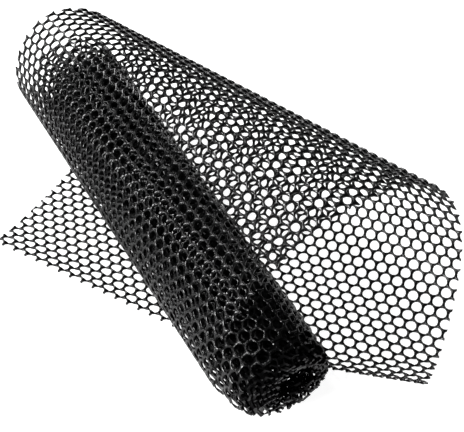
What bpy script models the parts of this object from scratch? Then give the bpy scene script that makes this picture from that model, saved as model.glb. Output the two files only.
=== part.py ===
"""Bird netting roll: a strip of black plastic netting, partly unrolled.

The cut end of the strip lies flat with two of its corners curled up. From
there the strip rises in one wide loop, comes over, and goes on round the
wound roll, which rests on the flat end. The wound turns are one hollow
solid. The loose strip is a thin bent sheet, as wide as the netting, that
stops where it tucks in under the roll.

Metres, +Z up. +Y runs along the roll from its stepped end.
"""

import math

import bpy
import numpy as np

MM = 0.001

# The netting, in millimetres.
WIDTH = 400.0
THICK = 2.0

# The cut end on the ground, seen from above: the near corner of the cut
# edge, and the way the cut edge runs, in degrees from +X.
CUT_CORNER = (70.0, -254.1)
CUT_HEADING = 128.1

# The loop. Each row is one straight line across the strip.
LOOP = (
    # near edge mm, far edge mm, turned degrees
    (57.5, 164, 0.0),
    (64.5, 207.5, 14.0),
    (84, 239.5, 30.5),
    (121, 262.5, 50.5),
    (163.5, 293, 78.5),
    (202, 313, 107.5),
    (246, 347.5, 138.5),
    (267.5, 366.5, 154.0),
    (292.5, 382, 165.5),
    (367.5, 405, 194.0),
    (413.5, 420, 212.5),
    (466.5, 436.5, 228.5),
    (501, 457.5, 246.5),
    (533, 490.5, 277.0),
    (568, 527.5, 320.0),
)

# The curled corners of the cut end. Each row is one crease.
FAR_CURL = (
    # on cut edge mm, on far edge mm, turned degrees
    (176, 163, 0.0),
    (194, 150, 10.5),
    (218, 90, 11.0),
    (236, 44, 17.0),
    (246, 17, 27.0),
)
NEAR_CURL = (
    # on cut edge mm, on near edge mm, turned degrees
    (160, 57, 0.0),
    (152, 52, 20.0),
    (124, 12, 39.5),
    (48, 9, 57.0),
)

# The wound turns.
TURN_PITCH = 2.9        # spacing of the turns
ROLL_RADIUS = 45.9      # outermost turn at the near end, mid-thickness
CONE = 5.3              # how much wider the far end of that turn is
CONE_TURNS = 0.95       # turns over which the far end narrows again
CONE_LEFT = 0.22        # how much wider it stays
DRIFT = 0.38            # makes each turn lie a little to one side of the last
EARLY_DRIFT = 0.55      # how much further the first turns do
DRIFT_START = -72.0     # degrees, sets that side
BORE_RADIUS = 17.5
ROLL_INSET = 0.5        # keeps the roll's skin clear of the strip round it
STEPPED_TURNS = 4       # turns that stand out one by one at the ends

# Steps of the model.
LOOP_STEPS = 64
CURL_STEPS = 24
COLUMNS = 10
FLAT_ROWS = 8
TURN_STEPS = 40
REST_GAP = 0.5          # from the flat end to the underside of the roll
FLAT_SPOT = 1.3         # height over the flat end below which the roll is flattened


def smooth(rows, steps):
    """Read a table's rows off the smooth curve through them."""
    rows = np.array(rows, float)
    last = len(rows) - 1
    place = np.linspace(0.0, last, steps)
    start = np.minimum(place.astype(int), last - 1)
    part = (place - start)[:, None]
    ends = np.vstack([2 * rows[0] - rows[1], rows, 2 * rows[-1] - rows[-2]])
    before, here, there, after = (ends[start + k] for k in range(4))
    return 0.5 * (
        2 * here
        + (there - before) * part
        + (2 * before - 5 * here + 4 * there - after) * part**2
        + (3 * here - before - 3 * there + after) * part**3
    )


def turned(vectors, axis, angle):
    """Turn vectors about a unit axis through the origin."""
    along = np.outer(vectors @ axis, axis)
    return (
        vectors * math.cos(angle)
        + np.cross(axis, vectors) * math.sin(angle)
        + along * (1.0 - math.cos(angle))
    )


def wound_rows(last_row, turns):
    """Go on with the loop's table round the roll, turn by turn."""
    near, far, angle = last_row
    step = 2 * math.pi / TURN_STEPS
    rows = []
    for count in range(int(turns * TURN_STEPS)):
        wound = count / TURN_STEPS
        radius = ROLL_RADIUS - TURN_PITCH * wound
        aside = DRIFT * min(wound, 1.0) + EARLY_DRIFT * math.exp(-wound)
        radius += aside * math.sin(math.radians(angle - DRIFT_START))
        near += radius * step
        far += (radius + CONE_LEFT + CONE * math.exp(-wound / CONE_TURNS)) * step
        angle += 360.0 / TURN_STEPS
        rows.append((near, far, angle))
    return rows


def unrolled():
    """Bend the strip line by line, on flat axes: cut edge, length, height.

    Gives the near and the far end of each line, and its inward normal.
    """
    table = smooth(LOOP, LOOP_STEPS)
    turns = (ROLL_RADIUS - BORE_RADIUS) / TURN_PITCH
    table = np.vstack([table, wound_rows(table[-1], turns)])
    near = np.array([0.0, table[0, 0], 0.0])
    far = np.array([WIDTH, table[0, 1], 0.0])
    frame = np.array([[0.0, 1.0, 0.0], [0.0, 0.0, 1.0]])
    nears, fars, normals = [near], [far], [frame[1]]
    for step in np.diff(table, axis=0):
        near = near + frame[0] * step[0]
        far = far + frame[0] * step[1]
        across = (far - near) / np.linalg.norm(far - near)
        frame = turned(frame, across, math.radians(step[2]))
        nears.append(near)
        fars.append(far)
        normals.append(frame[1])
    return np.array(nears), np.array(fars), np.array(normals)


def curl(points, flat, starts, ends, degrees):
    """Fold points up about straight creases, the outermost one first."""
    for start, end, angle in reversed(list(zip(starts, ends, degrees))):
        way = (end - start) / np.linalg.norm(end - start)
        off = flat - start
        outside = off[:, 0] * way[1] - off[:, 1] * way[0] < 0
        arm = points[outside] - start
        points[outside] = start + turned(arm, way, math.radians(angle))
    return points


def cut_end(flat):
    """The flat end of the strip with its two corners curled up."""
    points = flat.copy()
    zero = np.zeros(CURL_STEPS)
    edge = np.full(CURL_STEPS, WIDTH)
    cut, side, angle = smooth(FAR_CURL, CURL_STEPS).T
    bends = np.diff(angle, prepend=angle[0])
    points = curl(points, flat, np.c_[edge, side, zero], np.c_[cut, zero, zero], bends)
    cut, side, angle = smooth(NEAR_CURL, CURL_STEPS).T
    bends = np.diff(angle, prepend=angle[0])
    return curl(points, flat, np.c_[cut, zero, zero], np.c_[zero, side, zero], bends)


def placed(points):
    """From the strip's flat axes to the part's own frame."""
    way = math.radians(CUT_HEADING)
    along = np.array([math.cos(way), math.sin(way), 0.0])
    length = np.array([math.sin(way), -math.cos(way), 0.0])
    up = np.array([0.0, 0.0, 1.0])
    spot = np.array([*CUT_CORNER, THICK / 2])
    axes = np.array([along, length, up])
    return spot + np.asarray(points) @ axes


def netting_black():
    """Matt black polyethylene."""
    material = bpy.data.materials.new("netting_black")
    material.use_nodes = True
    shader = material.node_tree.nodes["Principled BSDF"]
    shader.inputs["Base Color"].default_value = (0.012, 0.012, 0.013, 1.0)
    shader.inputs["Roughness"].default_value = 0.45
    shader.inputs["Metallic"].default_value = 0.0
    return material


def add_object(name, points, faces, material, collection):
    """Make one named object from points in millimetres."""
    mesh = bpy.data.meshes.new(name)
    mesh.from_pydata((np.asarray(points) * MM).tolist(), [], faces)
    mesh.materials.append(material)
    mesh.validate()
    made = bpy.data.objects.new(name, mesh)
    collection.objects.link(made)
    return made


def grid_faces(rows, columns, closed_rows=False, closed_columns=False):
    """Four-cornered faces between neighbouring rows of points."""
    faces = []
    for row in range(rows if closed_rows else rows - 1):
        below = (row + 1) % rows
        for column in range(columns if closed_columns else columns - 1):
            right = (column + 1) % columns
            faces.append((
                row * columns + column,
                row * columns + right,
                below * columns + right,
                below * columns + column,
            ))
    return faces


def loose_net(nears, fars, material, collection):
    """The flat end, the loop and the part that hugs the roll."""
    across = np.linspace(0.0, 1.0, COLUMNS + 1)
    first_line = nears[0] + np.outer(across, fars[0] - nears[0])
    flat = np.vstack([
        first_line * (1.0, part, 1.0)
        for part in np.linspace(0.0, 1.0, FLAT_ROWS, endpoint=False)
    ])
    points = [cut_end(flat)]
    for near, far in zip(nears[:LOOP_STEPS], fars[:LOOP_STEPS]):
        points.append(near + np.outer(across, far - near))
    rows = FLAT_ROWS + LOOP_STEPS
    made = add_object(
        "loose_net", placed(np.vstack(points)),
        grid_faces(rows, COLUMNS + 1), material, collection,
    )
    shell = made.modifiers.new("thickness", "SOLIDIFY")
    shell.thickness = THICK * MM
    shell.offset = 0.0
    shell.use_even_offset = True
    return made


def wound_roll(nears, fars, normals, material, collection):
    """The wound turns: one outer turn, stepped ends and a bore through."""
    last_turn = slice(len(nears) - TURN_STEPS, len(nears))
    near_hub = nears[last_turn].mean(axis=0)
    far_hub = fars[last_turn].mean(axis=0)
    skin = THICK / 2 - ROLL_INSET
    points = []
    for line in range(LOOP_STEPS, LOOP_STEPS + TURN_STEPS):
        layers = range(line, line + STEPPED_TURNS * TURN_STEPS, TURN_STEPS)
        near_end = [nears[layer] - normals[layer] * skin for layer in layers]
        far_end = [fars[layer] - normals[layer] * skin for layer in layers]
        bore = -normals[line] * BORE_RADIUS
        points += far_end + [far_hub + bore, near_hub + bore] + near_end[::-1]
    count = 2 * STEPPED_TURNS + 2
    points = placed(points)
    points[points[:, 2] < THICK + FLAT_SPOT, 2] = THICK + REST_GAP
    return add_object(
        "wound_roll", points,
        grid_faces(TURN_STEPS, count, True, True), material, collection,
    )


def main():
    for old in list(bpy.data.objects):
        bpy.data.objects.remove(old)
    collection = bpy.data.collections.new("bird_netting_roll")
    bpy.context.scene.collection.children.link(collection)
    material = netting_black()
    nears, fars, normals = unrolled()
    loose_net(nears, fars, material, collection)
    wound_roll(nears, fars, normals, material, collection)


main()
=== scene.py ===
"""Bird netting roll, dressed: black extruded hexagon netting, partly unrolled.

The netting is one strip. It is modelled flat, cell by cell, cut to size and
then bent: the cut end lies on the ground with two corners curled up, the
strip rises in one wide loop, and the rest is wound on the roll.
"""

import math

import bpy
import numpy as np
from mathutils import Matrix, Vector


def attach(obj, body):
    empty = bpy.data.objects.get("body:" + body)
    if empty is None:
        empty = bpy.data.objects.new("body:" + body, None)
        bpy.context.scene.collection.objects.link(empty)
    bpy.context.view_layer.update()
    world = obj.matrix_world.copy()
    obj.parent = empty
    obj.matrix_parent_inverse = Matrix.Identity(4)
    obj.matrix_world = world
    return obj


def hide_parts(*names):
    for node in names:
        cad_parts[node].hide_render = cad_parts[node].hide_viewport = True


bl_info = {
    "name": "Bird netting roll",
    "version": (1, 0, 0),
    "blender": (4, 5, 0),
    "location": "3D View > Sidebar > Netting",
    "description": "Builds a roll of black hexagon netting, partly unrolled",
    "category": "Add Mesh",
}

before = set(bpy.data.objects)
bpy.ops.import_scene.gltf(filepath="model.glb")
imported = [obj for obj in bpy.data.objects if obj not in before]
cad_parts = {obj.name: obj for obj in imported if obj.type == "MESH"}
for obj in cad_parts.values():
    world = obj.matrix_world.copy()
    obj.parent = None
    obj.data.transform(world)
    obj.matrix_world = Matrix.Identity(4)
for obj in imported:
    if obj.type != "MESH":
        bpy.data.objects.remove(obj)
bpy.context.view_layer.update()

MM = 0.001

# The strip, as in the part's source: millimetres and degrees. The rows of the
# three tables are results of least-squares fits to the photo, rounded, with
# some of the curls' numbers then changed. This is an open failure.
WIDTH = 400.0
THICK = 2.0
CUT_CORNER = (70.0, -254.1)
CUT_HEADING = 128.1
LOOP = (
    # near edge mm, far edge mm, turned degrees
    (57.5, 164, 0.0),
    (64.5, 207.5, 14.0),
    (84, 239.5, 30.5),
    (121, 262.5, 50.5),
    (163.5, 293, 78.5),
    (202, 313, 107.5),
    (246, 347.5, 138.5),
    (267.5, 366.5, 154.0),
    (292.5, 382, 165.5),
    (367.5, 405, 194.0),
    (413.5, 420, 212.5),
    (466.5, 436.5, 228.5),
    (501, 457.5, 246.5),
    (533, 490.5, 277.0),
    (568, 527.5, 320.0),
)
FAR_CURL = (
    # on cut edge mm, on far edge mm, turned degrees
    (176, 163, 0.0),
    (194, 150, 10.5),
    (218, 90, 11.0),
    (236, 44, 17.0),
    (246, 17, 27.0),
)
NEAR_CURL = (
    # on cut edge mm, on near edge mm, turned degrees
    (160, 57, 0.0),
    (152, 52, 20.0),
    (124, 12, 39.5),
    (48, 9, 57.0),
)
TURN_PITCH = 2.9        # spacing of the turns
ROLL_RADIUS = 45.9      # outermost turn at the near end, mid-thickness
CONE = 5.3              # how much wider the far end of that turn is
CONE_TURNS = 0.95       # turns over which the far end narrows again
CONE_LEFT = 0.22        # how much wider it stays
DRIFT = 0.38            # makes each turn lie a little to one side of the last
EARLY_DRIFT = 0.55      # how much further the first turns do
DRIFT_START = -72.0     # degrees, sets that side
BORE_RADIUS = 17.5
LOOP_STEPS = 64
CURL_STEPS = 24
TURN_STEPS = 40
FINER = 4               # rulings of the bend between two of the table's

# The netting's own pattern.
FIRST_CELL = 0.76       # middle of a cell from the near side edge, in cells
ROW_TO_CELL = 0.802     # row spacing over cell width
INNER_STRAND = 1.02     # the square inner strands' size, over the setting
SPARE_CELLS = 4         # made beyond each side, then cut away
SPARE_ROWS = 2          # made before a loose piece, then cut away
WOUND_SPARE_ROWS = 8    # and before a wound one, whose rows are stretched
MERGE_REACH = 0.0004    # metres, joins the corners that cells share
WELD_LOSS = 0.5         # how much of the weld height the wound turns lose
SMOOTH_ANGLE = 50.0     # degrees, sharper edges stay sharp

# The rows of cells at which one piece ends and the next begins.
LOOP_ROW = 32
OUTER_TURN_ROW = 62
SECOND_TURN_ROW = 94
INNER_TURNS_ROW = 126
CORE_TURNS_ROW = 200
LAST_ROW = 272

# How the cells lie in the wound turns: distances along the strip, in mm.
TRIM_FROM = 450.0       # where the cells start to spread to the sides
TRIM_OVER = 100.0       # over what length they do
WOUND_FROM = 570.0      # where the rows start to open out
STRETCH_OVER = 150.0    # over what length they do
SWING_FROM = 850.0      # where the cells start to wander
SWING_OVER = 400.0      # over what length the wandering grows
SIDEWAYS_WAVE = (23.0, 61.0)    # mm a radian, along and across the strip
ONWARDS_WAVE = (31.0, 19.0)

# The plastic and the studio, chosen by trial for the photo's contrast.
OUTER_IOR = 1.35        # both indices lie below polyethylene's, about 1.5
SHADED_INNER_IOR = 1.18        # darker still, from the second turn inwards: painted shade, a less reflective copy of the plastic for the turns under the outer one
ROUGHNESS_SPREAD = 0.16
FLOOR_SIZE = 80.0
FLOOR_GLOW = 0.95
SKY_STRENGTH = 0.03
LIGHTS = (
    # name, place and size in metres, watts
    ("left_light", (-1.8, -0.2, 1.0), 0.6, 72.0),
    ("back_light", (-0.4, 1.7, 1.2), 0.6, 56.0),
    ("key_light", (-0.6, 0.2, 2.1), 0.7, 14.0),
)
CAMERA_PLACE = (-0.2753, -0.5416, 0.741)
CAMERA_TILT = 40.66     # degrees from straight down
CAMERA_HEADING = -29.64
CAMERA_SENSOR = 36.0
CAMERA_LENS = 77.9


def deselect_all():
    """Nothing selected, object mode."""
    if bpy.context.mode != "OBJECT":
        bpy.ops.object.mode_set(mode="OBJECT")
    bpy.ops.object.select_all(action="DESELECT")


def apply_all(piece):
    """Apply every modifier of the piece in order."""
    for name in [modifier.name for modifier in piece.modifiers]:
        bpy.ops.object.modifier_apply(modifier=name)


# --- the strip's bend -------------------------------------------------------

def smooth(rows, steps):
    """Read a table's rows off the smooth curve through them."""
    rows = np.array(rows, float)
    last = len(rows) - 1
    place = np.linspace(0.0, last, steps)
    start = np.minimum(place.astype(int), last - 1)
    part = (place - start)[:, None]
    ends = np.vstack([2 * rows[0] - rows[1], rows, 2 * rows[-1] - rows[-2]])
    before, here, there, after = (ends[start + k] for k in range(4))
    return 0.5 * (
        2 * here
        + (there - before) * part
        + (2 * before - 5 * here + 4 * there - after) * part**2
        + (3 * here - before - 3 * there + after) * part**3
    )


def turned(vectors, axis, angle):
    """Turn vectors about a unit axis through the origin."""
    along = np.outer(vectors @ axis, axis)
    return (
        vectors * math.cos(angle)
        + np.cross(axis, vectors) * math.sin(angle)
        + along * (1.0 - math.cos(angle))
    )


def wound_rows(last_row, turns):
    """Go on with the loop's table round the roll, turn by turn."""
    near, far, angle = last_row
    step = 2 * math.pi / TURN_STEPS
    rows = []
    for count in range(int(turns * TURN_STEPS)):
        wound = count / TURN_STEPS
        radius = ROLL_RADIUS - TURN_PITCH * wound
        aside = DRIFT * min(wound, 1.0) + EARLY_DRIFT * math.exp(-wound)
        radius += aside * math.sin(math.radians(angle - DRIFT_START))
        near += radius * step
        far += (radius + CONE_LEFT + CONE * math.exp(-wound / CONE_TURNS)) * step
        angle += 360.0 / TURN_STEPS
        rows.append((near, far, angle))
    return rows


def rulings():
    """The straight lines across the bent strip, on flat axes, in mm.

    Each row: near edge and far edge distance along the strip, near point,
    far point, inward normal.
    """
    table = smooth(LOOP, LOOP_STEPS)
    turns = (ROLL_RADIUS - BORE_RADIUS) / TURN_PITCH
    table = np.vstack([table, wound_rows(table[-1], turns)])
    near = np.array([0.0, table[0, 0], 0.0])
    far = np.array([WIDTH, table[0, 1], 0.0])
    axes = np.array([[0.0, 1.0, 0.0], [0.0, 0.0, 1.0]])
    rows = [np.r_[table[0, :2], near, far, axes[1]]]
    for line, step in zip(table[1:], np.diff(table, axis=0)):
        near = near + axes[0] * step[0]
        far = far + axes[0] * step[1]
        across = (far - near) / np.linalg.norm(far - near)
        axes = turned(axes, across, math.radians(step[2]))
        rows.append(np.r_[line[:2], near, far, axes[1]])
    return smooth(rows, FINER * (len(rows) - 1) + 1)


def curl(points, flat, starts, ends, degrees):
    """Fold points up about straight creases, the outermost one first."""
    for start, end, angle in reversed(list(zip(starts, ends, degrees))):
        way = (end - start) / np.linalg.norm(end - start)
        off = flat - start
        outside = off[:, 0] * way[1] - off[:, 1] * way[0] < 0
        arm = points[outside] - start
        points[outside] = start + turned(arm, way, math.radians(angle))
    return points


def cut_end(flat):
    """The flat end of the strip with its two corners curled up."""
    points = flat.copy()
    zero = np.zeros(CURL_STEPS)
    edge = np.full(CURL_STEPS, WIDTH)
    cut, side, angle = smooth(FAR_CURL, CURL_STEPS).T
    bends = np.diff(angle, prepend=angle[0])
    starts, ends = np.c_[edge, side, zero], np.c_[cut, zero, zero]
    points = curl(points, flat, starts, ends, bends)
    cut, side, angle = smooth(NEAR_CURL, CURL_STEPS).T
    bends = np.diff(angle, prepend=angle[0])
    starts, ends = np.c_[cut, zero, zero], np.c_[zero, side, zero]
    return curl(points, flat, starts, ends, bends)


def on_strip(flat, lines):
    """Bend points (across, along, height) of the flat strip, in mm."""
    across, along, height = flat.T
    part = across / WIDTH
    low = np.zeros(len(flat), int)
    high = np.full(len(flat), len(lines) - 1)
    while np.any(high - low > 1):
        middle = (low + high) // 2
        reached = lines[middle, 0] * (1 - part) + lines[middle, 1] * part <= along
        low = np.where(reached, middle, low)
        high = np.where(reached, high, middle)
    starts = lines[low, 0] * (1 - part) + lines[low, 1] * part
    ends = lines[high, 0] * (1 - part) + lines[high, 1] * part
    blend = ((along - starts) / (ends - starts))[:, None]
    line = lines[low] * (1 - blend) + lines[high] * blend
    normals = line[:, 8:11] / np.linalg.norm(line[:, 8:11], axis=1)[:, None]
    points = line[:, 2:5] * (1 - part)[:, None] + line[:, 5:8] * part[:, None]
    points = points + normals * height[:, None]
    lying = along < lines[0, 0] * (1 - part) + lines[0, 1] * part
    points[lying] = cut_end(flat[lying])
    return points


def placed(points):
    """From the flat axes that the strip is bent on to the part's own frame."""
    way = math.radians(CUT_HEADING)
    along = np.array([math.cos(way), math.sin(way), 0.0])
    length = np.array([math.sin(way), -math.cos(way), 0.0])
    up = np.array([0.0, 0.0, 1.0])
    spot = np.array([*CUT_CORNER, THICK / 2])
    return spot + points @ np.array([along, length, up])


# --- materials --------------------------------------------------------------

class Socket:
    """A shader value that can be written in sums."""

    def __init__(self, maker, link):
        self.maker = maker
        self.link = link

    def _math(self, operation, first, second):
        return self.maker.node(
            "ShaderNodeMath", {"operation": operation}, {0: first, 1: second},
        )

    def __add__(self, other):
        return self._math("ADD", self, other)

    __radd__ = __add__

    def __mul__(self, other):
        return self._math("MULTIPLY", self, other)

    __rmul__ = __mul__


class Material:
    """A node material with one way of adding nodes."""

    def __init__(self, name):
        self.material = bpy.data.materials.new(name)
        self.material.use_nodes = True
        self.tree = self.material.node_tree
        self.shader = self.tree.nodes["Principled BSDF"]

    def node(self, kind, settings=None, values=None, output=0):
        """Add a node: its settings first, then its sockets."""
        node = self.tree.nodes.new(kind)
        for key, value in (settings or {}).items():
            if key == "stops":
                self.set_stops(node.color_ramp, value)
            else:
                setattr(node, key, value)
        for key, value in (values or {}).items():
            self.put(node.inputs[key], value)
        return Socket(self, node.outputs[output])

    def set_stops(self, ramp, stops):
        """Give a colour ramp its two stops, as (place, colour)."""
        for element, (place, colour) in zip(ramp.elements, stops):
            element.position = place
            element.color = (*colour, 1.0)

    def put(self, socket, value):
        """Link or set one socket."""
        if isinstance(value, Socket):
            self.tree.links.new(value.link, socket)
        else:
            socket.default_value = value

    def finish(self, values):
        """Set the shader's own sockets."""
        for key, value in values.items():
            self.put(self.shader.inputs[key], value)
        return self.material


def extruded_black(name, ior, settings):
    """Black polyethylene: satin, with a coarse and a fine unevenness."""
    made = Material(name)
    place = made.node("ShaderNodeTexCoord", output=3)
    wide = made.node(
        "ShaderNodeTexNoise", {}, {"Vector": place, "Scale": 60.0, "Detail": 3.0},
    )
    fine = made.node(
        "ShaderNodeTexNoise", {}, {"Vector": place, "Scale": 900.0, "Detail": 2.0},
    )
    dull = tuple(settings.netting_colour)
    pale = tuple(min(1.0, channel * 2.0 + 0.001) for channel in dull)
    colour = made.node(
        "ShaderNodeValToRGB",
        {"stops": [(0.35, dull), (0.75, pale)]},
        {"Fac": wide * 0.6 + fine * 0.4},
    )
    bump = made.node(
        "ShaderNodeBump", {},
        {"Height": fine + 0.5 * wide, "Strength": 0.25, "Distance": 0.0002},
    )
    lowest = settings.netting_roughness - 0.5 * ROUGHNESS_SPREAD
    return made.finish({
        "Base Color": colour,
        "Roughness": lowest + ROUGHNESS_SPREAD * wide,
        "Normal": bump,
        "Metallic": 0.0,
        "IOR": ior,
    })


def pale_floor(settings):
    """Plain pale studio floor that gives off light of its own."""
    made = Material("pale_floor")
    colour = tuple(settings.floor_colour)
    return made.finish({
        "Base Color": (*colour, 1.0),
        "Roughness": 0.9,
        "Emission Color": (1.0, 1.0, 1.0, 1.0),
        "Emission Strength": FLOOR_GLOW,
    })


# --- the netting ------------------------------------------------------------

def row_place(row, settings):
    """How far along the strip the middle of a row of cells lies, in metres."""
    return settings.cell * (0.5 + ROW_TO_CELL * row)


def flat_netting(name, first_row, last_row, settings, rounded):
    """Netting laid flat, from the middle of one row of cells to another.

    A first row of 0 starts at the cut edge instead.
    """
    cell = settings.cell
    row = ROW_TO_CELL * cell
    spare = SPARE_ROWS if first_row < OUTER_TURN_ROW else WOUND_SPARE_ROWS
    start_row = first_row // 2 * 2 - spare
    pairs = (last_row - start_row) // 2 + 2
    count = round(WIDTH * MM / cell) + 1 + 2 * SPARE_CELLS
    deselect_all()
    bpy.ops.mesh.primitive_circle_add(vertices=6, radius=1.0, fill_type="NGON")
    piece = bpy.context.object
    piece.name = name
    piece.data.name = name
    bpy.ops.object.mode_set(mode="EDIT")
    bpy.ops.mesh.select_all(action="SELECT")
    bpy.ops.transform.resize(value=(cell / math.sqrt(3), row / 1.5, 1.0))
    first_place = (FIRST_CELL - 1.0 - SPARE_CELLS) * cell
    bpy.ops.transform.translate(
        value=(first_place, row_place(start_row, settings), 0.0),
    )
    bpy.ops.object.mode_set(mode="OBJECT")
    for label, copies, offset in (
        ("next row", 2, (cell / 2, row, 0.0)),
        ("across", count, (cell, 0.0, 0.0)),
        ("along", pairs, (0.0, 2 * row, 0.0)),
    ):
        array = piece.modifiers.new(label, "ARRAY")
        array.count = copies
        array.use_relative_offset = False
        array.use_constant_offset = True
        array.constant_offset_displace = offset
    weld = piece.modifiers.new("shared strands", "WELD")
    weld.merge_threshold = MERGE_REACH
    wire = piece.modifiers.new("strands", "WIREFRAME")
    wire.thickness = settings.strand * (1.0 if rounded else INNER_STRAND)
    wire.use_boundary = True
    wire.use_replace = True
    wire.use_even_offset = True
    wire.use_relative_offset = False
    if rounded:
        subdivision = piece.modifiers.new("rounded", "SUBSURF")
        subdivision.levels = 1
        subdivision.render_levels = 1
    apply_all(piece)
    start = row_place(first_row, settings)
    if first_row == 0:
        start = -settings.stub * cell
    move_points(piece, shape_strands, settings)
    move_points(piece, wander, settings)
    move_points(piece, lean_in, settings)
    cut_to_size(start, row_place(last_row, settings))
    move_points(piece, lean_out, settings)
    return piece


def cut_to_size(start, end):
    """Cut the active flat netting to the strip's width, from start to end."""
    bpy.ops.object.mode_set(mode="EDIT")
    for place, way in (
        ((0.0, 0.0, 0.0), (-1.0, 0.0, 0.0)),
        ((WIDTH * MM, 0.0, 0.0), (1.0, 0.0, 0.0)),
        ((0.0, start, 0.0), (0.0, -1.0, 0.0)),
        ((0.0, end, 0.0), (0.0, 1.0, 0.0)),
    ):
        bpy.ops.mesh.select_all(action="SELECT")
        bpy.ops.mesh.bisect(
            plane_co=place, plane_no=way, use_fill=True, clear_outer=True,
        )
    bpy.ops.object.mode_set(mode="OBJECT")


def move_points(piece, move, given):
    """Pass a piece's points, in mm, through a function and what it is given."""
    points = np.zeros(len(piece.data.vertices) * 3)
    piece.data.vertices.foreach_get("co", points)
    points = move(points.reshape(-1, 3) / MM, given) * MM
    piece.data.vertices.foreach_set("co", points.ravel())
    piece.data.update()


def trimmed(along):
    """0 on the loose netting, 1 on the wound turns."""
    return np.clip((along - TRIM_FROM) / TRIM_OVER, 0.0, 1.0)


def shape_strands(flat, settings):
    """Give flat netting its two layers of strands, welded at the struts.

    Strands that climb to the right lie a little above those that climb to
    the left. Where two run together they make a thicker, wider strut.
    """
    cell = settings.cell / MM
    across, along, height = flat.T / cell
    row = np.round((along - 0.5) / ROW_TO_CELL)
    up = along - 0.5 - row * ROW_TO_CELL
    strut = FIRST_CELL - 0.5 + 0.5 * (row % 2)
    aside = across - strut - np.round(across - strut)
    weld = np.clip(2.0 - 2.0 * np.abs(aside) / settings.weld_reach, 0.0, 1.0)
    weld = weld * weld * (3.0 - 2.0 * weld)
    tall = settings.weld_height * (1.0 - WELD_LOSS * trimmed(flat[:, 1]))
    height = height * settings.strand_flatness * (1.0 + tall * weld)
    layer = np.sign(aside * up) * (1.0 - weld) * settings.layer_step / settings.cell
    lift = settings.lift / settings.cell
    across = across + aside * weld * settings.weld_width
    return np.c_[across, along, height + layer + lift] * cell


def wander(flat, settings):
    """Spread, open out and wander the cells of the wound turns."""
    across, along, height = flat.T
    middle_to_side = 2.0 * across / WIDTH - 1.0
    sideways = settings.side_trim / MM * trimmed(along) * middle_to_side
    grown = np.clip((along - SWING_FROM) / SWING_OVER, 0.0, 1.0)
    swing = settings.swing / MM * grown
    by_length, by_width = SIDEWAYS_WAVE
    sideways = sideways + swing * np.sin(along / by_length + across / by_width)
    wound = np.maximum(along - WOUND_FROM, 0.0)
    onwards = settings.row_stretch * wound * wound / (wound + STRETCH_OVER)
    by_length, by_width = ONWARDS_WAVE
    onwards = onwards + swing * np.sin(along / by_length - across / by_width)
    return np.c_[across + sideways, along + onwards, height]


def corner_lean(along, settings):
    """The strip's width near the cut corner while it is cut, over its own."""
    left = np.clip(1.0 - along * MM / settings.slack_length, 0.0, 1.5)
    return 1.0 - left * settings.corner_slack * settings.cell / (WIDTH * MM)


def lean_in(flat, settings):
    """Lean the far side in near the cut end, clear of the straight cut."""
    return np.c_[flat[:, 0] * corner_lean(flat[:, 1], settings), flat[:, 1:]]


def lean_out(flat, settings):
    """Lean the far side back out."""
    return np.c_[flat[:, 0] / corner_lean(flat[:, 1], settings), flat[:, 1:]]


def bent(flat, lines):
    """Points of the flat strip, in mm, to where they lie in the part's frame."""
    return placed(on_strip(flat, lines))


def bend_netting(piece, lines):
    """Bend a flat netting, turn its faces outwards and shade it."""
    move_points(piece, bent, lines)
    bpy.ops.object.mode_set(mode="EDIT")
    bpy.ops.mesh.select_all(action="SELECT")
    bpy.ops.mesh.flip_normals()
    bpy.ops.object.mode_set(mode="OBJECT")
    bpy.ops.object.shade_smooth_by_angle(angle=math.radians(SMOOTH_ANGLE))


def netting_material(inner, settings):
    """The netting material, made the first time it is asked for. The inner one is a
    darker, less reflective copy of the plastic: painted shade for the turns under the
    outer one.
    """
    name = "extruded_black_painted_shade" if inner else "extruded_black_netting"
    ior = SHADED_INNER_IOR if inner else OUTER_IOR
    return bpy.data.materials.get(name) or extruded_black(name, ior, settings)


def netting_piece(name, first_row, last_row, node, rounded):
    """One stretch of the netting, bent and coloured."""
    settings = bpy.context.scene.netting_roll
    piece = flat_netting(name, first_row, last_row, settings, rounded)
    bend_netting(piece, rulings())
    # From the second turn inwards the netting gets the darker copy of the plastic:
    # painted shade.
    inner = first_row >= SECOND_TURN_ROW
    piece.data.materials.append(netting_material(inner, settings))
    length = (last_row - first_row) * ROW_TO_CELL * settings.cell
    if first_row == 0:
        length += 0.5 * settings.cell
    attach(piece, "root")
    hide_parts(node)
    return piece


# --- settings ---------------------------------------------------------------

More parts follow.
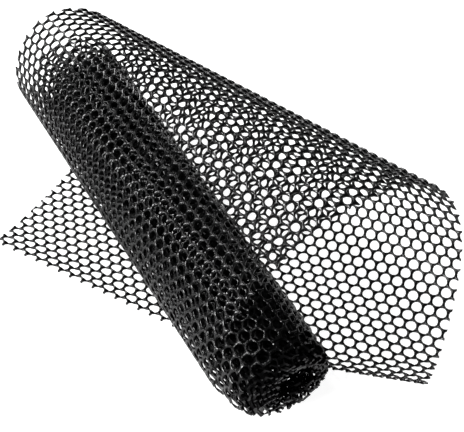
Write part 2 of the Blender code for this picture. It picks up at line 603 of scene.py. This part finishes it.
class NettingRollSettings(bpy.types.PropertyGroup):
    """Sizes and colours of the netting and the studio."""

    cell: bpy.props.FloatProperty(
        name="Cell width", description="Spacing of the cells across the strip",
        default=0.01143, unit="LENGTH",
    )
    strand: bpy.props.FloatProperty(
        name="Strand", description="Strand size before it is rounded",
        default=0.0021, unit="LENGTH",
    )
    weld_reach: bpy.props.FloatProperty(
        name="Weld reach",
        description="How far a weld runs out along the strands, in cells",
        default=0.145,
    )
    weld_width: bpy.props.FloatProperty(
        name="Weld width", description="How much wider a strut is than a strand",
        default=0.2, subtype="FACTOR",
    )
    weld_height: bpy.props.FloatProperty(
        name="Weld height", description="How much thicker a strut is than a strand",
        default=1.5, subtype="FACTOR",
    )
    layer_step: bpy.props.FloatProperty(
        name="Layer step",
        description="How far each layer of strands lies off the middle",
        default=0.0006, unit="LENGTH",
    )
    lift: bpy.props.FloatProperty(
        name="Lift", description="Keeps the thick struts off the ground",
        default=0.0009, unit="LENGTH",
    )
    corner_slack: bpy.props.FloatProperty(
        name="Corner slack",
        description="How far the cut corner's side stands out, in cells",
        default=0.45,
    )
    slack_length: bpy.props.FloatProperty(
        name="Slack length", description="Length over which the side comes back in",
        default=0.11, unit="LENGTH",
    )
    stub: bpy.props.FloatProperty(
        name="Stub", description="How far the cut edge stands out, in cells",
        default=0.38,
    )
    strand_flatness: bpy.props.FloatProperty(
        name="Strand flatness", description="Strand height over its width",
        default=0.9, subtype="FACTOR",
    )
    side_trim: bpy.props.FloatProperty(
        name="Side trim",
        description="How far the wound turns' cells are spread at each side",
        default=0.002, unit="LENGTH",
    )
    swing: bpy.props.FloatProperty(
        name="Swing",
        description="How far the cells wander from the second turn inwards",
        default=0.0028, unit="LENGTH",
    )
    row_stretch: bpy.props.FloatProperty(
        name="Row stretch", description="How much the wound turns' rows open out",
        default=0.04,
    )
    solid_share: bpy.props.FloatProperty(
        name="Solid share",
        description="Share of the strip declared as plastic, not measured",
        default=0.44, subtype="FACTOR",
    )
    netting_colour: bpy.props.FloatVectorProperty(
        name="Netting colour", description="Black of the plastic",
        default=(0.0015, 0.0015, 0.0016), subtype="COLOR", size=3,
    )
    netting_roughness: bpy.props.FloatProperty(
        name="Netting roughness", description="How satin the plastic is",
        default=0.2, subtype="FACTOR",
    )
    floor_colour: bpy.props.FloatVectorProperty(
        name="Floor colour", description="Pale studio floor",
        default=(0.35, 0.35, 0.35), subtype="COLOR", size=3,
    )
    light_power: bpy.props.FloatProperty(
        name="Light", description="Strength of the studio lamps over their own",
        default=1.0,
    )


# --- operators --------------------------------------------------------------

class NETTING_OT_cut_end(bpy.types.Operator):
    """The flat cut end with its curled corners and the foot of the loop"""

    bl_idname = "netting.cut_end"
    bl_label = "Cut end"

    def execute(self, context):
        netting_piece("net_cut_end", 0, LOOP_ROW, "loose_net", True)
        return {"FINISHED"}


class NETTING_OT_loop(bpy.types.Operator):
    """The top of the loop and the netting that hugs the roll"""

    bl_idname = "netting.loop"
    bl_label = "Loop"

    def execute(self, context):
        netting_piece(
            "net_loop", LOOP_ROW, OUTER_TURN_ROW, "loose_net", True,
        )
        return {"FINISHED"}


class NETTING_OT_wound_turns(bpy.types.Operator):
    """The wound turns of the roll, from the outside in"""

    bl_idname = "netting.wound_turns"
    bl_label = "Wound turns"

    def execute(self, context):
        for name, first, last, rounded in (
            ("net_outer_turn", OUTER_TURN_ROW, SECOND_TURN_ROW, True),
            ("net_second_turn", SECOND_TURN_ROW, INNER_TURNS_ROW, True),
            ("net_inner_turns", INNER_TURNS_ROW, CORE_TURNS_ROW, False),
            ("net_core_turns", CORE_TURNS_ROW, LAST_ROW, False),
        ):
            netting_piece(name, first, last, "wound_roll", rounded)
        return {"FINISHED"}


class NETTING_OT_stage(bpy.types.Operator):
    """Pale floor, three area lamps and the camera"""

    bl_idname = "netting.stage"
    bl_label = "Stage"

    def execute(self, context):
        settings = context.scene.netting_roll
        deselect_all()
        bpy.ops.mesh.primitive_plane_add(size=FLOOR_SIZE)
        floor = context.object
        floor.name = "studio_floor"
        floor.data.materials.append(pale_floor(settings))
        for name, place, size, power in LIGHTS:
            turn = (-Vector(place)).to_track_quat("-Z", "Y").to_euler()
            bpy.ops.object.light_add(type="AREA", location=place, rotation=turn)
            light = context.object
            light.name = name
            light.data.size = size
            light.data.energy = power * settings.light_power
        world = context.scene.world or bpy.data.worlds.new("studio")
        context.scene.world = world
        world.use_nodes = True
        sky = world.node_tree.nodes["Background"]
        sky.inputs["Color"].default_value = (1.0, 1.0, 1.0, 1.0)
        sky.inputs["Strength"].default_value = SKY_STRENGTH
        bpy.ops.object.camera_add(
            location=CAMERA_PLACE,
            rotation=(
                math.radians(CAMERA_TILT), 0.0, math.radians(CAMERA_HEADING),
            ),
        )
        camera = context.object
        camera.name = "studio_camera"
        camera.data.sensor_width = CAMERA_SENSOR
        camera.data.sensor_fit = "HORIZONTAL"
        camera.data.lens = CAMERA_LENS
        camera.data.clip_start = 0.01
        context.scene.camera = camera
        context.scene.view_settings.view_transform = "Standard"
        return {"FINISHED"}


OPERATORS = (
    NETTING_OT_cut_end,
    NETTING_OT_loop,
    NETTING_OT_wound_turns,
    NETTING_OT_stage,
)


class NETTING_PT_panel(bpy.types.Panel):
    """Lists the netting's pieces and its settings"""

    bl_idname = "NETTING_PT_panel"
    bl_label = "Bird netting roll"
    bl_space_type = "VIEW_3D"
    bl_region_type = "UI"
    bl_category = "Netting"

    def draw(self, context):
        settings = context.scene.netting_roll
        for key in NettingRollSettings.__annotations__:
            self.layout.prop(settings, key)
        for operator in OPERATORS:
            self.layout.operator(operator.bl_idname)


CLASSES = (NettingRollSettings, *OPERATORS, NETTING_PT_panel)


def register():
    for made in CLASSES:
        bpy.utils.register_class(made)
    bpy.types.Scene.netting_roll = bpy.props.PointerProperty(type=NettingRollSettings)


def unregister():
    del bpy.types.Scene.netting_roll
    for made in reversed(CLASSES):
        bpy.utils.unregister_class(made)


def main():
    """Build every piece and the stage."""
    register()
    bpy.ops.netting.cut_end()
    bpy.ops.netting.loop()
    bpy.ops.netting.wound_turns()
    bpy.ops.netting.stage()


if __name__ == "__main__":
    main()
